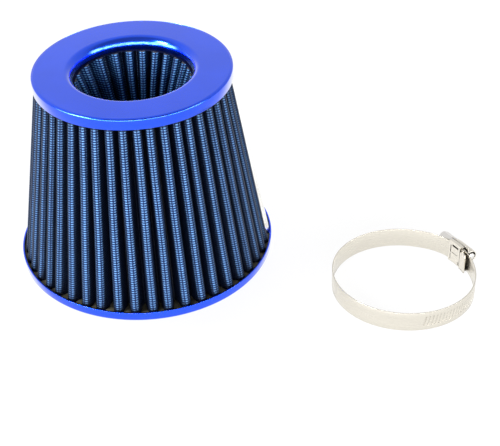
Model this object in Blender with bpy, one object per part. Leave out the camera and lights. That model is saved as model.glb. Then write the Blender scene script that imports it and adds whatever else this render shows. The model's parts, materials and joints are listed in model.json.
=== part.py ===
"""Open-top cone air filter with an inverted inner cone, and its worm-drive hose clamp.

The filter stands on its rubber neck. The clamp stands on edge beside it. Metres, +Z up, the
floor at Z = 0, with the origin at the centre of the pair's footprint.
"""

import bmesh
import bpy
import numpy as np
from math import cos, pi, radians, sin
from mathutils import Matrix, Vector

GAP = 0.0003                        # between pieces that touch or rest on each other
LAYER_GAP = 0.0002                  # between the layers of a pleated pack
ROUND_STEPS = 40                    # flats round a turned piece
THROAT_STEPS = 4                    # flats down the bell mouth's curve

# Base: the pan's underside is held above the floor by the neck
BASE_Z = 0.025
BASE_RADIUS = 0.075
BASE_SKIRT = 0.0062
BASE_CORNER = 0.0012
BASE_POTTING_TOP = BASE_Z + 0.0034

# Top plate
TOP_Z = BASE_Z + 0.1205
TOP_RADIUS = 0.0558
TOP_SKIRT = 0.0064
PLATE = 0.0009                      # sheet metal of the plate, the pan and the cup
TOP_CORNER = 0.0012
THROAT_RADIUS = 0.0331
THROAT_CURVE = (0.0045, 0.0062)     # reach of the bell mouth's curve, inward and down
THROAT_DEPTH = 0.0069
POTTING_BEAD = 0.0006               # resin bead below the throat, over the cone's crests
POTTING_BEAD_RADIUS = 0.0312
POTTING_STEP_RADIUS = 0.0438        # outside this the resin is thinner
POTTING_STEP_SLOPE = 0.0010

# Neck
NECK_BORE = 0.038                   # radius of the pipe socket
NECK_RADIUS = 0.042
NECK_BEAD = 0.0005                  # how far the bead at the open end stands out
NECK_BEAD_HEIGHT = 0.003
NECK_FLANGE_RADIUS = 0.050
NECK_FLANGE = 0.0022
PAN_HOLE_CLEARANCE = 0.0004

# Outer pleats: radii of the middle of the sheet
OUTER_PLEATS = 46
OUTER_FIRST_PLEAT = radians(-93)
OUTER_LOW_Z = BASE_POTTING_TOP + GAP
OUTER_HIGH_Z = TOP_Z - TOP_SKIRT - GAP
OUTER_CREST = (0.0725, 0.0540)      # at the foot and at the top
OUTER_ROOT = (0.0628, 0.0460)
OUTER_CREST_FLAT = (0.0034, 0.0030)
OUTER_ROOT_FLAT = (0.0021, 0.0020)
OUTER_LAYERS = (0.0003, 0.0007, 0.0003)

# Inverted cone: its crests point at the axis
CONE_PLEATS = 26
CONE_FIRST_PLEAT = radians(84)
CONE_SEAM = radians(137)            # the pleats are stretched apart round the seam
CONE_STRETCH = 0.48
CONE_STRETCH_WIDTH = radians(26)
CONE_LOW_Z = 0.092
CONE_HIGH_Z = TOP_Z - THROAT_DEPTH - POTTING_BEAD - 2 * GAP
CONE_CREST = (0.0160, 0.0317)
CONE_ROOT = (0.0208, 0.0398)
CONE_CREST_FLAT = (0.0016, 0.0022)
CONE_ROOT_FLAT = (0.0020, 0.0026)
CONE_LAYERS = (0.0002, 0.0006, 0.0002)
CONE_CUP_RADIUS = 0.0240
CONE_CUP_HEIGHT = 0.0050
CONE_CUP_LIP = 0.0012               # how far the cup's wall stands above its resin

# Seam clips fold over one pleat of each pack
CLIP = 0.0005
CLIP_REACH = 0.5                    # how far down the pleat's sides the clip goes
OUTER_CLIP_PLEAT = 12
CONE_CLIP_PLEAT = 4

# Clamp: a band on edge round CLAMP_CENTRE, housing at HOUSING_ANGLE
CLAMP_CENTRE = Vector((0.1538, -0.0218, 0.0))   # from the filter's axis
BAND_RADIUS = 0.04162
BAND_OVAL = 0.00122                 # the loop is slightly longer along BAND_OVAL_ANGLE
BAND_OVAL_ANGLE = radians(-9.8)
BAND = 0.0006
BAND_WIDTH = 0.0128
BAND_STEP = radians(5.4)
BAND_Z = 0.0010                     # the saddle's lower flange lifts the band by this much
HOUSING_ANGLE = radians(32)
HEAD_START = HOUSING_ANGLE - radians(10)
TAIL_CLEARANCE = 0.00033            # between the strip's two ends where they overlap
FIRST_HINGE = HOUSING_ANGLE + radians(72)
SECOND_HINGE = FIRST_HINGE - pi
TAIL_END = HOUSING_ANGLE + radians(23)
HEAD_ROUND_END = HOUSING_ANGLE + radians(6)     # the strip is round inside the housing
HEAD_OVAL_START = HOUSING_ANGLE + radians(40)
TAIL_OVAL_END = HOUSING_ANGLE - radians(77)
TAIL_ROUND_START = HOUSING_ANGLE - radians(42)
TAIL_RADIUS = BAND_RADIUS + BAND + TAIL_CLEARANCE
FIRST_GROOVE = HOUSING_ANGLE - radians(115.5)
WORM_PITCH = 0.0024
GROOVE_HEIGHT = 0.0072
GROOVE_WIDTH = 0.0011
GROOVE_LEAN = 0.0012
GROOVE_DEPTH = 0.00035              # pressed into the strip's outer face only
GROOVES = int((TAIL_END - FIRST_GROOVE) / (WORM_PITCH / TAIL_RADIUS))
GROOVE_EDGES = [TAIL_END - WORM_PITCH / TAIL_RADIUS * i for i in range(GROOVES, -1, -1)]

# Clamp's saddle and housing
SADDLE = 0.0007
SADDLE_TOP = 0.0434                 # radius where the saddle's flanges end
SADDLE_STEPS = 6
SADDLE_SHIFT = -radians(2.2)         # how far the saddle sits past the housing's middle
HOUSING_BACK = -0.0080              # along the screw, from the middle of the housing
HOUSING_FRONT = 0.0070
HOUSING_MIDDLE = (HOUSING_BACK + HOUSING_FRONT) / 2
HOUSING_WALL = 0.0007
HOUSING_SEAT = SADDLE_TOP + GAP
WORM_CLEARANCE = 0.0005

# Screw
SCREW_RADIUS = 0.0465               # of its axis, from the clamp's centre
SCREW_Z = BAND_Z + BAND_WIDTH / 2
THREAD_RADIUS = 0.0034
THREAD_ROOT = 0.0026
THREAD_START = -0.0084
THREAD_TURNS = 6
THREAD_STEPS = 4                    # rings in each turn
COLLAR_RADIUS = 0.0039
HEX_RADIUS = 0.0041
COLLAR_LENGTH = 0.0014
HEX_START = 0.0100
HEX_END = 0.0185
HEX_BEVEL = 0.0006
HEX_END_SHARE = 0.84                # radius of the head's end face, of the hexagon's
TIP_SHARE = 0.8                     # radius of the worm's tip, of the thread's root
TIP_LENGTH = 0.0005
SCREW_SIDES = 12
DRIVER_SLOT = (0.0011, 0.0018)      # width and depth


# Materials

def make_material(name, colour, roughness, metallic):
    """A Principled material."""
    material = bpy.data.materials.new(name)
    material.use_nodes = True
    shader = material.node_tree.nodes["Principled BSDF"]
    shader.inputs["Base Color"].default_value = (*colour, 1.0)
    shader.inputs["Roughness"].default_value = roughness
    shader.inputs["Metallic"].default_value = metallic
    return material


PALETTE = {
    "blue_enamel": ((0.05, 0.13, 0.80), 0.35, 0.0),
    "blue_wire": ((0.05, 0.10, 0.24), 0.45, 0.6),
    "cotton": ((0.03, 0.05, 0.12), 0.90, 0.0),
    "khaki_resin": ((0.20, 0.19, 0.13), 0.60, 0.0),
    "dark_resin": ((0.01, 0.02, 0.06), 0.50, 0.0),
    "black_rubber": ((0.02, 0.02, 0.02), 0.70, 0.0),
    "bare_steel": ((0.75, 0.74, 0.70), 0.25, 1.0),
    "stainless_strip": ((0.80, 0.77, 0.70), 0.30, 1.0),
    "zinc_screw": ((0.72, 0.68, 0.60), 0.35, 1.0),
}


# Mesh helpers

def add_object(name, bm, colour, parent, origin=Vector()):
    """Turn bm into a named, outward-facing object whose origin is at the given point."""
    bmesh.ops.recalc_face_normals(bm, faces=bm.faces)
    bmesh.ops.translate(bm, vec=-origin, verts=bm.verts)
    mesh = bpy.data.meshes.new(name)
    bm.to_mesh(mesh)
    bm.free()
    mesh.shade_smooth()
    mesh.set_sharp_from_angle(angle=radians(35))
    mesh.materials.append(make_material(name, *PALETTE[colour]))
    thing = bpy.data.objects.new(name, mesh)
    thing.location = origin
    thing.parent = parent
    bpy.context.scene.collection.objects.link(thing)
    return thing


def add_empty(name):
    """An empty that carries one group of pieces."""
    empty = bpy.data.objects.new(name, None)
    bpy.context.scene.collection.objects.link(empty)
    return empty


def curve(centre, reach, start, end, steps):
    """Points of an ellipse's arc in degrees, as (radius from the axis, height)."""
    angles = [radians(start + (end - start) * i / steps) for i in range(steps + 1)]
    return [(centre[0] + reach[0] * cos(a), centre[1] + reach[1] * sin(a)) for a in angles]


def arc(centre, radius, start, end, steps):
    """Points of a circle's arc in degrees, as (radius from the axis, height)."""
    return curve(centre, (radius, radius), start, end, steps)


def throat_curve(inset, start, end):
    """The bell mouth's curve, moved into the sheet by an inset."""
    centre = (THROAT_RADIUS + THROAT_CURVE[0], TOP_Z - THROAT_CURVE[1])
    reach = (THROAT_CURVE[0] - inset, THROAT_CURVE[1] - inset)
    return curve(centre, reach, start, end, THROAT_STEPS)


def turned(profile, closed=True):
    """Spin an outline of (radius, height) points; an open one starts and ends on the axis."""
    bm = bmesh.new()
    points = [bm.verts.new((r, 0.0, z)) for r, z in profile]
    edges = [bm.edges.new(pair) for pair in zip(points, points[1:])]
    if closed:
        edges.append(bm.edges.new((points[-1], points[0])))
    bmesh.ops.spin(bm, geom=points + edges, cent=(0, 0, 0), axis=(0, 0, 1),
                   angle=2 * pi, steps=ROUND_STEPS, use_merge=True)
    bmesh.ops.remove_doubles(bm, verts=bm.verts, dist=1e-6)
    return bm


def bridge_rings(bm, rings):
    """Close a stack of vertex rings into a solid, with a face over its first and last ring."""
    made = [[bm.verts.new(point) for point in ring] for ring in rings]
    count = len(made[0])
    for near, far in zip(made, made[1:]):
        for j in range(count):
            k = (j + 1) % count
            bm.faces.new((near[j], near[k], far[k]))
            bm.faces.new((near[j], far[k], far[j]))
    bm.faces.new(made[0])
    bm.faces.new(made[-1])


def folded_shell(low_outside, high_outside, low_inside, high_inside):
    """A folded tube; both walls share their diagonals, so nested tubes stay clear."""
    bm = bmesh.new()
    low_out, high_out, low_in, high_in = [
        [bm.verts.new(point) for point in ring]
        for ring in (low_outside, high_outside, low_inside, high_inside)]
    count = len(low_out)
    for j in range(count):
        k = (j + 1) % count
        bm.faces.new((low_out[j], low_out[k], high_out[k]))
        bm.faces.new((low_out[j], high_out[k], high_out[j]))
        bm.faces.new((low_in[j], high_in[k], low_in[k]))
        bm.faces.new((low_in[j], high_in[j], high_in[k]))
        bm.faces.new((low_out[k], low_out[j], low_in[j], low_in[k]))
        bm.faces.new((high_out[j], high_out[k], high_in[k], high_in[j]))
    return bm


# Pleated packs

def cone_pleat_angles():
    """Where the cone's pleats are: evenly spread, but stretched apart round the seam."""
    grid = np.linspace(0.0, 2 * pi, 1441)
    away = (grid - (CONE_SEAM - CONE_FIRST_PLEAT) + pi) % (2 * pi) - pi
    density = 1.0 / (1.0 + CONE_STRETCH * np.exp(-(away / CONE_STRETCH_WIDTH) ** 2))
    filled = np.concatenate(([0.0], np.cumsum((density[1:] + density[:-1]) / 2)))
    wanted = np.arange(CONE_PLEATS) * filled[-1] / CONE_PLEATS
    return [CONE_FIRST_PLEAT + float(a) for a in np.interp(wanted, filled, grid)]


def outer_pleat_angles():
    """The outer pack's pleats are evenly spread."""
    return [OUTER_FIRST_PLEAT + 2 * pi * i / OUTER_PLEATS for i in range(OUTER_PLEATS)]


def polar(radius, angle):
    """A point in the plane."""
    return Vector((radius * cos(angle), radius * sin(angle)))


def pleat_loop(angles, crest, root, crest_flat, root_flat):
    """The middle line of a folded sheet: two points on each crest and two in each root."""
    points = []
    for index, here in enumerate(angles):
        after = angles[(index + 1) % len(angles)] + (2 * pi if index + 1 == len(angles) else 0)
        between = (here + after) / 2
        points.append(polar(crest, here - crest_flat / 2 / crest))
        points.append(polar(crest, here + crest_flat / 2 / crest))
        points.append(polar(root, between - root_flat / 2 / root))
        points.append(polar(root, between + root_flat / 2 / root))
    return points


def step_aside(before, here, after, distance):
    """The point beside a corner, to the right of the way through it, with a mitre."""
    first = (here - before).normalized()
    second = (after - here).normalized()
    right_first = Vector((first.y, -first.x))
    right_second = Vector((second.y, -second.x))
    mitre = (right_first + right_second) / (1 + right_first.dot(right_second))
    return here + mitre * distance


def offset_loop(points, distance):
    """The closed loop moved outwards, or inwards when distance is negative."""
    count = len(points)
    return [step_aside(points[i - 1], points[i], points[(i + 1) % count], distance)
            for i in range(count)]


def layer_offsets(layers):
    """Each layer's two faces, measured from the middle of the whole sheet."""
    total = sum(layers) + LAYER_GAP * (len(layers) - 1)
    faces = []
    start = total / 2
    for thickness in layers:
        faces.append((start, start - thickness))
        start -= thickness + LAYER_GAP
    return faces


def at_height(points, z):
    """Plane points lifted to a height."""
    return [(p.x, p.y, z) for p in points]


def pleated_pack(names, colours, low, high, low_z, high_z, layers, parent):
    """The nested layers of one pleated pack, between its foot loop and its top loop."""
    for name, colour, (outside, inside) in zip(names, colours, layer_offsets(layers)):
        rings = [at_height(offset_loop(loop, distance), z) for distance in (outside, inside)
                 for loop, z in ((low, low_z), (high, high_z))]
        add_object(name, folded_shell(*rings), colour, parent)


def outer_loops():
    """The outer pack's middle lines at its foot and at its top."""
    angles = outer_pleat_angles()
    return [pleat_loop(angles, OUTER_CREST[end], OUTER_ROOT[end],
                       OUTER_CREST_FLAT[end], OUTER_ROOT_FLAT[end]) for end in (0, 1)]


def cone_loops():
    """The cone's middle lines at its foot and at its top."""
    angles = cone_pleat_angles()
    return [pleat_loop(angles, CONE_CREST[end], CONE_ROOT[end],
                       CONE_CREST_FLAT[end], CONE_ROOT_FLAT[end]) for end in (0, 1)]


def clip_outline(loop, start, near, far):
    """Section of a clip over four corners of a loop: its legs stop part way down the sides."""
    outer_foot, left, right, other_foot = [loop[(start + i) % len(loop)] for i in range(4)]
    path = [left.lerp(outer_foot, CLIP_REACH), left, right, right.lerp(other_foot, CLIP_REACH)]
    path = [path[0] * 2 - path[1]] + path + [path[3] * 2 - path[2]]
    sides = [[step_aside(path[i - 1], path[i], path[i + 1], distance) for i in range(1, 5)]
             for distance in (near, far)]
    return sides[0] + sides[1][::-1]


def seam_clip(name, loops, start, pack_ends, clip_ends, layers, parent):
    """A folded metal strip along one fold of a pack, between two heights."""
    near = sum(layers) / 2 + LAYER_GAP * (len(layers) - 1) / 2 + GAP
    rings = []
    for z in clip_ends:
        share = (z - pack_ends[0]) / (pack_ends[1] - pack_ends[0])
        loop = [low.lerp(high, share) for low, high in zip(*loops)]
        rings.append(at_height(clip_outline(loop, start, near, near + CLIP), z))
    bm = bmesh.new()
    bridge_rings(bm, rings)
    add_object(name, bm, "bare_steel", parent)


def build_outer_pack(parent):
    """Wire screen, cotton gauze and wire screen of the outer pleats, with the seam's clip."""
    loops = outer_loops()
    pleated_pack(("outer_screen", "outer_gauze", "outer_backing_screen"),
                 ("blue_wire", "cotton", "blue_wire"), *loops, OUTER_LOW_Z, OUTER_HIGH_Z,
                 OUTER_LAYERS, parent)
    seam_clip("outer_seam_clip", loops, 4 * OUTER_CLIP_PLEAT - 1, (OUTER_LOW_Z, OUTER_HIGH_Z),
              (BASE_Z + BASE_SKIRT + GAP, OUTER_HIGH_Z), OUTER_LAYERS, parent)


def build_cone_pack(parent):
    """The same layers of the inverted cone; its clip is on the side away from the axis."""
    loops = cone_loops()
    pleated_pack(("cone_backing_screen", "cone_gauze", "cone_screen"),
                 ("blue_wire", "cotton", "blue_wire"), *loops, CONE_LOW_Z, CONE_HIGH_Z,
                 CONE_LAYERS, parent)
    ends = (CONE_LOW_Z, CONE_HIGH_Z)
    seam_clip("cone_seam_clip", loops, 4 * CONE_CLIP_PLEAT + 1, ends, ends, CONE_LAYERS, parent)


# Turned pieces of the filter

def build_top_plate(parent):
    """Pressed plate: outer skirt, rounded corner, flat, and a bell mouth down into the throat."""
    skirt_end = TOP_Z - TOP_SKIRT
    corner = (TOP_RADIUS - TOP_CORNER, TOP_Z - TOP_CORNER)
    throat_end = TOP_Z - THROAT_DEPTH
    outside = [(TOP_RADIUS, skirt_end)] + arc(corner, TOP_CORNER, 0, 90, 3)
    outside += throat_curve(0.0, 90, 180) + [(THROAT_RADIUS, throat_end)]
    inside = [(THROAT_RADIUS + PLATE, throat_end)] + throat_curve(PLATE, 180, 90)
    inside += [(TOP_RADIUS - PLATE, TOP_Z - PLATE), (TOP_RADIUS - PLATE, skirt_end)]
    add_object("top_plate", turned(outside + inside), "blue_enamel", parent)


def build_top_potting(parent):
    """Resin under the plate, with a bead below the throat over the cone's crests."""
    inner = THROAT_RADIUS + PLATE + GAP
    outer = TOP_RADIUS - PLATE - GAP
    ceiling = TOP_Z - PLATE - GAP
    bead_top = TOP_Z - THROAT_DEPTH - GAP
    bead_low = CONE_HIGH_Z + GAP
    pack_low = OUTER_HIGH_Z + GAP
    profile = [(inner, bead_top)] + throat_curve(PLATE + GAP, 180, 90)
    profile += [(outer, ceiling), (outer, pack_low), (POTTING_STEP_RADIUS, pack_low),
               (POTTING_STEP_RADIUS - POTTING_STEP_SLOPE, bead_low),
               (POTTING_BEAD_RADIUS, bead_low), (POTTING_BEAD_RADIUS, bead_top)]
    add_object("top_potting", turned(profile), "dark_resin", parent)


def build_base_pan(parent):
    """Pressed pan with an upright skirt and a hole that the neck passes through."""
    hole = NECK_RADIUS + PAN_HOLE_CLEARANCE
    corner = (BASE_RADIUS - BASE_CORNER, BASE_Z + BASE_CORNER)
    rim = BASE_Z + BASE_SKIRT
    profile = [(hole, BASE_Z)] + arc(corner, BASE_CORNER, 270, 360, 2)
    profile += [(BASE_RADIUS, rim), (BASE_RADIUS - PLATE, rim)]
    profile += [(BASE_RADIUS - PLATE, BASE_Z + PLATE), (hole, BASE_Z + PLATE)]
    add_object("base_pan", turned(profile), "blue_enamel", parent)


def build_base_potting(parent):
    """Ring of resin in the pan, round the neck's flange."""
    inner = NECK_FLANGE_RADIUS + GAP
    outer = BASE_RADIUS - PLATE - GAP
    floor = BASE_Z + PLATE + GAP
    profile = [(inner, floor), (outer, floor), (outer, BASE_POTTING_TOP),
               (inner, BASE_POTTING_TOP)]
    add_object("base_potting", turned(profile), "khaki_resin", parent)


def build_neck(parent):
    """Rubber collar with a bead at its open end and a flange held in the pan."""
    flange_low = BASE_Z + PLATE + GAP
    flange_high = flange_low + NECK_FLANGE
    bead = NECK_RADIUS + NECK_BEAD
    profile = [(NECK_BORE, 0.0), (bead, 0.0), (bead, NECK_BEAD_HEIGHT),
               (NECK_RADIUS, NECK_BEAD_HEIGHT + NECK_BEAD), (NECK_RADIUS, flange_low),
               (NECK_FLANGE_RADIUS, flange_low), (NECK_FLANGE_RADIUS, flange_high),
               (NECK_BORE, flange_high)]
    add_object("rubber_neck", turned(profile), "black_rubber", parent)


def build_cone_end(parent):
    """Pressed cup and resin that close the lower end of the cone."""
    potting_top = CONE_LOW_Z - GAP
    cup_high = potting_top + CONE_CUP_LIP
    cup_low = cup_high - CONE_CUP_HEIGHT
    wall = CONE_CUP_RADIUS - PLATE
    cup = [(0.0, cup_low), (CONE_CUP_RADIUS, cup_low), (CONE_CUP_RADIUS, cup_high),
           (wall, cup_high), (wall, cup_low + PLATE), (0.0, cup_low + PLATE)]
    resin_low = cup_low + PLATE + GAP
    resin = [(0.0, resin_low), (wall - GAP, resin_low), (wall - GAP, potting_top),
             (0.0, potting_top)]
    add_object("cone_end_cup", turned(cup, closed=False), "blue_enamel", parent)
    add_object("cone_end_potting", turned(resin, closed=False), "dark_resin", parent)


# Clamp band

def smooth_step(value, start, end):
    """0 before start, 1 after end, and smooth between."""
    share = min(max((value - start) / (end - start), 0.0), 1.0)
    return share * share * (3 - 2 * share)


def oval_radius(angle):
    """The free loop's radius to the middle of the strip."""
    return BAND_RADIUS + BAND_OVAL * cos(2 * (angle - BAND_OVAL_ANGLE))


def head_radius(angle):
    """Round inside the housing, then the free loop's shape."""
    share = smooth_step(angle, HEAD_ROUND_END, HEAD_OVAL_START)
    return BAND_RADIUS * (1 - share) + oval_radius(angle) * share


def tail_radius(angle):
    """The free loop's shape, then round and outside the head end where the two overlap."""
    share = smooth_step(angle, TAIL_OVAL_END, TAIL_ROUND_START)
    return oval_radius(angle) * (1 - share) + TAIL_RADIUS * share


def band_point(radius_at, angle, side, z):
    """A point on the strip: side is -1 on its inner face and 1 on its outer face."""
    radius = radius_at(angle) + side * BAND / 2
    return CLAMP_CENTRE + Vector((radius * cos(angle), radius * sin(angle), z))


def groove_corners(angle):
    """Angle and height of a leaning groove's corners, anticlockwise from the lower left."""
    half_width = GROOVE_WIDTH / 2 / TAIL_RADIUS
    half_lean = GROOVE_LEAN / 2 / TAIL_RADIUS
    low = BAND_Z + (BAND_WIDTH - GROOVE_HEIGHT) / 2
    high = low + GROOVE_HEIGHT
    return [(angle - half_lean - half_width, low), (angle - half_lean + half_width, low),
            (angle + half_lean + half_width, high), (angle + half_lean - half_width, high)]


def build_strip(name, radius_at, start, end, parent, origin, groove_edges=()):
    """A length of the strip, with a pressed groove between each two groove edges inside it."""
    cuts = [angle for angle in groove_edges if start <= angle <= end]
    plain_end = cuts[0] if cuts else end
    steps = max(1, round((plain_end - start) / BAND_STEP))
    edges = list(np.linspace(start, plain_end, steps + 1)) + cuts[1:]
    if cuts and cuts[-1] < end:
        edges.append(end)
    grooved = [a in cuts and b in cuts for a, b in zip(edges, edges[1:])]
    low, high = BAND_Z, BAND_Z + BAND_WIDTH
    groove_side = 1 - 2 * GROOVE_DEPTH / BAND
    bm = bmesh.new()

    def vertex(angle, side, z):
        return bm.verts.new(band_point(radius_at, angle, side, z))

    columns = [[vertex(angle, side, z) for side, z in
                ((-1, low), (1, low), (1, high), (-1, high))] for angle in edges]
    bm.faces.new(columns[0])
    bm.faces.new(columns[-1])
    for index, (here, after) in enumerate(zip(columns, columns[1:])):
        for i, j in ((0, 1), (2, 3), (3, 0)):
            bm.faces.new((here[i], here[j], after[j], after[i]))
        frame = [here[1], after[1], after[2], here[2]]
        if not grooved[index]:
            bm.faces.new(frame)
            continue
        corners = groove_corners((edges[index] + edges[index + 1]) / 2)
        mouth, floor = [[vertex(a, side, z) for a, z in corners] for side in (1, groove_side)]
        bm.faces.new(floor)
        for i in range(4):
            j = (i + 1) % 4
            bm.faces.new((frame[i], frame[j], mouth[j], mouth[i]))
            bm.faces.new((mouth[i], mouth[j], floor[j], floor[i]))
    return add_object(name, bm, "stainless_strip", parent, origin)


def build_saddle(parent):
    """Channel inside the loop: a curved floor with a flange along each edge of the strip."""
    bottom = BAND_RADIUS - BAND / 2 - GAP - SADDLE
    inner_low, inner_high = BAND_Z - GAP, BAND_Z + BAND_WIDTH + GAP
    low, high = inner_low - SADDLE, inner_high + SADDLE
    section = [(bottom, low), (bottom, high), (SADDLE_TOP, high), (SADDLE_TOP, inner_high),
               (bottom + SADDLE, inner_high), (bottom + SADDLE, inner_low),
               (SADDLE_TOP, inner_low), (SADDLE_TOP, low)]
    middle = HOUSING_ANGLE + HOUSING_MIDDLE / BAND_RADIUS + SADDLE_SHIFT
    reach = (HOUSING_FRONT - HOUSING_BACK) / 2 / BAND_RADIUS
    rings = []
    for share in np.linspace(-1.0, 1.0, SADDLE_STEPS + 1):
        angle = middle + reach * share
        rings.append([CLAMP_CENTRE + Vector((r * cos(angle), r * sin(angle), z))
                      for r, z in section])
    bm = bmesh.new()
    bridge_rings(bm, rings)
    add_object("clamp_saddle", bm, "stainless_strip", parent, CLAMP_CENTRE)


def housing_frame():
    """Turns housing coordinates (across, outwards, along the screw) into clamp coordinates."""
    outwards = Vector((cos(HOUSING_ANGLE), sin(HOUSING_ANGLE), 0.0))
    along = Vector((-sin(HOUSING_ANGLE), cos(HOUSING_ANGLE), 0.0))
    across = outwards.cross(along)
    frame = Matrix((across, outwards, along)).transposed().to_4x4()
    frame.translation = CLAMP_CENTRE + across * SCREW_Z
    return frame


def build_housing(parent):
    """Cover bent over the screw, with feet on the saddle's flanges."""
    wall = THREAD_RADIUS + WORM_CLEARANCE
    outer = wall + HOUSING_WALL
    foot = BAND_WIDTH / 2 + GAP + SADDLE
    foot_top = HOUSING_SEAT + HOUSING_WALL
    outside = arc((0.0, SCREW_RADIUS), outer, 0, 180, 8)
    inside = arc((0.0, SCREW_RADIUS), wall, 180, 0, 8)
    section = [(foot, HOUSING_SEAT), (foot, foot_top), (outer, foot_top)] + outside
    section += [(-outer, foot_top), (-foot, foot_top), (-foot, HOUSING_SEAT),
                (-wall, HOUSING_SEAT)] + inside + [(wall, HOUSING_SEAT)]
    frame = housing_frame()
    rings = [[frame @ Vector((x, y, along)) for x, y in section]
             for along in (HOUSING_BACK, HOUSING_FRONT)]
    bm = bmesh.new()
    bridge_rings(bm, rings)
    add_object("clamp_housing", bm, "stainless_strip", parent, CLAMP_CENTRE)


def worm_rings():
    """Rings of a right-hand worm whose thread rises and fades over its first and last turn."""
    rings = []
    rows = THREAD_TURNS * THREAD_STEPS
    for row in range(rows + 1):
        fade = min(1.0, row / THREAD_STEPS, (rows - row) / THREAD_STEPS)
        ring = []
        for side in range(SCREW_SIDES):
            turn = row / THREAD_STEPS - side / SCREW_SIDES
            wave = (1 - cos(2 * pi * turn)) / 2
            radius = THREAD_ROOT + (THREAD_RADIUS - THREAD_ROOT) * wave * fade
            angle = 2 * pi * side / SCREW_SIDES
            ring.append((radius * cos(angle), radius * sin(angle),
                         THREAD_START + WORM_PITCH * row / THREAD_STEPS))
        rings.append(ring)
    return rings


def round_ring(radius, along):
    """A round ring across the screw."""
    angles = [2 * pi * i / SCREW_SIDES for i in range(SCREW_SIDES)]
    return [(radius * cos(a), radius * sin(a), along) for a in angles]


def hexagon_ring(radius, along):
    """A hexagon across the screw, with a point in the middle of each flat."""
    ring = []
    for i in range(SCREW_SIDES):
        angle = 2 * pi * i / SCREW_SIDES
        reach = radius if i % 2 == 0 else radius * cos(pi / 6)
        ring.append((reach * cos(angle), reach * sin(angle), along))
    return ring


def build_screw(parent):
    """Worm, neck, collar and a slotted hexagon head."""
    collar = HEX_START - COLLAR_LENGTH
    rings = [round_ring(THREAD_ROOT * TIP_SHARE, THREAD_START - TIP_LENGTH)]
    rings += worm_rings()
    rings += [round_ring(THREAD_ROOT, collar), round_ring(COLLAR_RADIUS, collar),
              round_ring(COLLAR_RADIUS, HEX_START), hexagon_ring(HEX_RADIUS, HEX_START),
              hexagon_ring(HEX_RADIUS, HEX_END - HEX_BEVEL),
              round_ring(HEX_RADIUS * HEX_END_SHARE, HEX_END)]
    bm = bmesh.new()
    bridge_rings(bm, rings)
    screw = add_object("clamp_screw", bm, "zinc_screw", parent)
    frame = housing_frame()
    frame.translation += frame.to_3x3() @ Vector((0.0, SCREW_RADIUS, 0.0))
    screw.matrix_world = frame
    width, depth = DRIVER_SLOT
    bm = bmesh.new()
    bmesh.ops.create_cube(bm, size=1.0)
    bmesh.ops.scale(bm, vec=(width, 4 * HEX_RADIUS, 2 * depth), verts=bm.verts)
    cutter = add_object("driver_slot_cutter", bm, "zinc_screw", screw)
    cutter.location = (0.0, 0.0, HEX_END)
    cutter.hide_render = True
    cutter.display_type = "WIRE"
    cut = screw.modifiers.new("driver_slot", "BOOLEAN")
    cut.operation = "DIFFERENCE"
    cut.solver = "EXACT"
    cut.object = cutter


def build_filter():
    """All pieces of the filter, on its own axis."""
    parent = add_empty("filter_frame")
    build_top_plate(parent)
    build_top_potting(parent)
    build_outer_pack(parent)
    build_cone_pack(parent)
    build_cone_end(parent)
    build_base_pan(parent)
    build_base_potting(parent)
    build_neck(parent)


def hinge_point(angle):
    """A joint axis of the strip, on its middle line."""
    radius = oval_radius(angle)
    return CLAMP_CENTRE + Vector((radius * cos(angle), radius * sin(angle), 0.0))


def build_clamp():
    """All pieces of the clamp, placed from the filter's axis."""
    parent = add_empty("clamp_frame")
    half_gap = GAP / 2 / BAND_RADIUS
    build_strip("clamp_band_head", head_radius, HEAD_START, FIRST_HINGE - half_gap, parent,
                CLAMP_CENTRE)
    build_strip("clamp_band_middle", oval_radius, FIRST_HINGE + half_gap,
                SECOND_HINGE + 2 * pi - half_gap, parent, hinge_point(FIRST_HINGE),
                [angle + 2 * pi for angle in GROOVE_EDGES])
    build_strip("clamp_band_tail", tail_radius, SECOND_HINGE + half_gap, TAIL_END, parent,
                hinge_point(SECOND_HINGE), GROOVE_EDGES)
    build_saddle(parent)
    build_housing(parent)
    build_screw(parent)


def centre_footprint():
    """Move both groups so that the origin is midway along the pair."""
    bpy.context.view_layer.update()
    reach = [(thing.matrix_world @ vertex.co).x for thing in bpy.data.objects
             if thing.type == "MESH" and not thing.hide_render for vertex in thing.data.vertices]
    shift = -(min(reach) + max(reach)) / 2
    for name in ("filter_frame", "clamp_frame"):
        bpy.data.objects[name].location.x = shift


def clear_scene():
    """Remove whatever the scene holds."""
    for thing in list(bpy.data.objects):
        bpy.data.objects.remove(thing, do_unlink=True)


clear_scene()
build_filter()
build_clamp()
centre_footprint()
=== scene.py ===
"""Looks of an open-top cone air filter and its hose clamp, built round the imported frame.

Lengths are in metres, in the frame's own axes: +Z up, the floor at Z = 0.
"""

import json
from collections import namedtuple
from math import cos, pi, radians, sin

import bmesh
import bpy
import numpy as np
from mathutils import Matrix, Vector


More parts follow.
